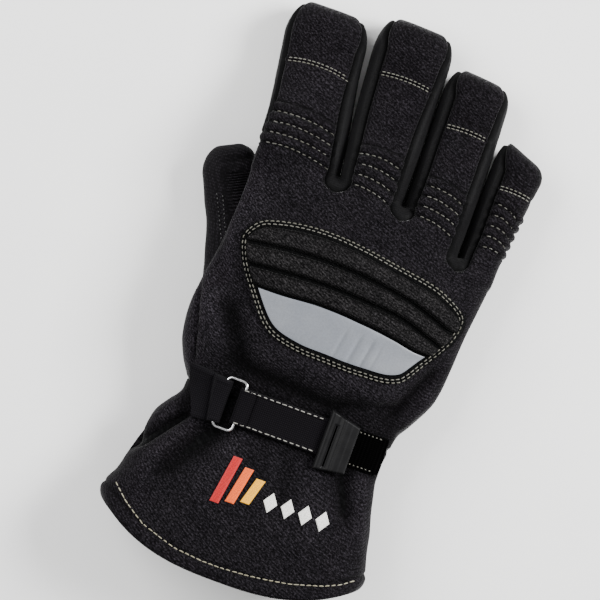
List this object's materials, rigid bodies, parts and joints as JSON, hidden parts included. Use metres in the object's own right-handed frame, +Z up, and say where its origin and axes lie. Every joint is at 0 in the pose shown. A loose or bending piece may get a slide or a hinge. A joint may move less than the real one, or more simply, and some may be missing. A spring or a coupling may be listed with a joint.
{
  "type": "firefighter glove",
  "caption": "Right-hand heavy work glove lying palm down, with a flared open cuff, padded knuckle shield, reflective strip and a buckled wrist strap.",
  "frame": {"origin": "on the table under the middle of the palm, at the centre of the flat on which the palm rests", "axes": "+Y to the fingertips, +X to the little-finger side, +Z up from the table to the back of the hand"},
  "size_m": [0.1468, 0.265, 0.0464],
  "materials": {
    "shell_fabric": "heathered charcoal felt twill",
    "grip_knit": "coarse black grip knit",
    "smooth_strip": "smooth close-woven black",
    "thumb_knit": "black knit with quilted ribs",
    "shield_fabric": "charcoal twill",
    "pad_fabric": "smooth black over padding",
    "reflective": "silver-grey retroreflective film",
    "webbing": "black ribbed webbing",
    "elastic": "black woven elastic",
    "ring_metal": "plated wire",
    "slider_plastic": "dark grey moulded plastic",
    "thread_red": "red embroidery",
    "thread_orange": "orange embroidery",
    "thread_amber": "amber embroidery",
    "thread_white": "off-white embroidery"
  },
  "bodies": {
    "root": {"back_panel": "shell_fabric", "palm_panel": "grip_knit", "cuff_back": "shell_fabric", "cuff_palm": "shell_fabric", "tip_cap_index": "shell_fabric", "tip_cap_middle": "shell_fabric", "tip_cap_ring": "shell_fabric", "tip_cap_little": "shell_fabric", "fourchette_index_middle": "smooth_strip", "fourchette_middle_ring": "smooth_strip", "fourchette_ring_little": "smooth_strip", "index_side_strip": "smooth_strip", "thumb_sleeve": "thumb_knit", "knuckle_backing": "shield_fabric", "knuckle_pad_upper": "pad_fabric", "knuckle_pad_middle": "pad_fabric", "knuckle_pad_lower": "pad_fabric", "reflective_strip": "reflective", "strap_anchor": "webbing", "ring_wire": "ring_metal", "strap_webbing": "webbing", "strap_elastic": "elastic", "strap_slider": "slider_plastic", "motif_bar_red": "thread_red", "motif_bar_orange": "thread_orange", "motif_bar_amber": "thread_amber", "motif_lozenge_1": "thread_white", "motif_lozenge_2": "thread_white", "motif_lozenge_3": "thread_white", "motif_lozenge_4": "thread_white"}
  },
  "joints": []
}
